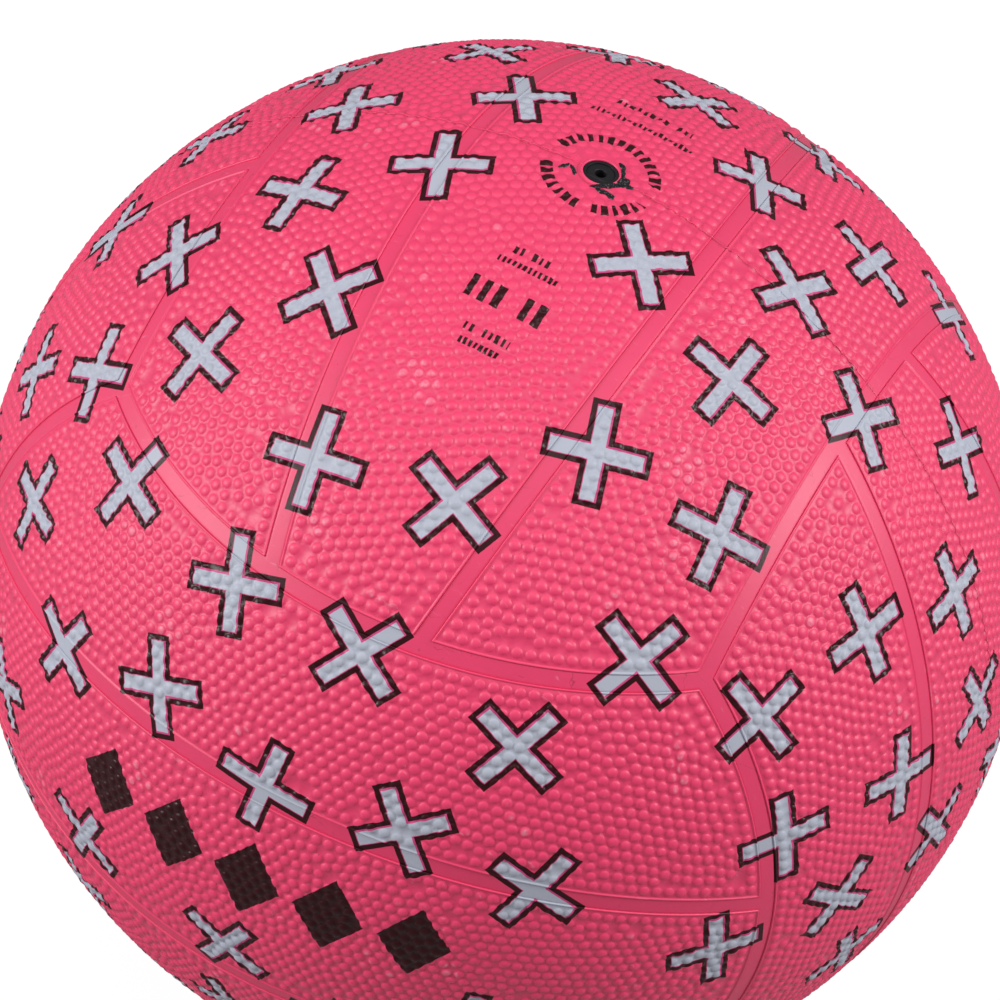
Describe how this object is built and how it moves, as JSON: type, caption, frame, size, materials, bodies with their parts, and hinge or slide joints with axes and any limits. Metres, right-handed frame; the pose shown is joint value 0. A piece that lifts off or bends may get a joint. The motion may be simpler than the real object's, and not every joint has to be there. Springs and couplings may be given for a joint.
{
  "type": "netball",
  "caption": "Netball with a cover of interlocking pebbled rubber panels set in a seam net, over nylon winding, a bladder and a plug valve.",
  "frame": {"origin": "centre of the ball", "axes": "+Z out through the valve along the needle passage, and the strips of the valve's face run along Y"},
  "size_m": [0.2228, 0.2228, 0.2226],
  "materials": {
    "cover_rubber": "satin",
    "seam_rubber": "satin",
    "winding_thread": "matte",
    "bladder_rubber": "matte",
    "housing_rubber": "satin",
    "plug_rubber": "satin"
  },
  "bodies": {
    "ball": {"bladder": "bladder_rubber", "winding_layer": "winding_thread", "seam_net": "seam_rubber", "valve_housing": "housing_rubber", "top_panel_left": "cover_rubber", "top_panel_middle": "cover_rubber", "top_panel_right": "cover_rubber", "bottom_panel_left": "cover_rubber", "bottom_panel_middle": "cover_rubber", "bottom_panel_right": "cover_rubber", "back_panel_lower": "cover_rubber", "back_panel_middle": "cover_rubber", "back_panel_upper": "cover_rubber", "front_panel_lower": "cover_rubber", "front_panel_middle": "cover_rubber", "front_panel_upper": "cover_rubber", "right_panel_front": "cover_rubber", "right_panel_middle": "cover_rubber", "right_panel_back": "cover_rubber", "left_panel_front": "cover_rubber", "left_panel_middle": "cover_rubber", "left_panel_back": "cover_rubber"},
    "plug": {"valve_plug": "plug_rubber"}
  },
  "joints": [
    {"name": "plug_pull", "type": "slide", "parent": "ball", "child": "plug", "axis": [0, 0, 1], "range_m": [0, 0.016]}
  ]
}
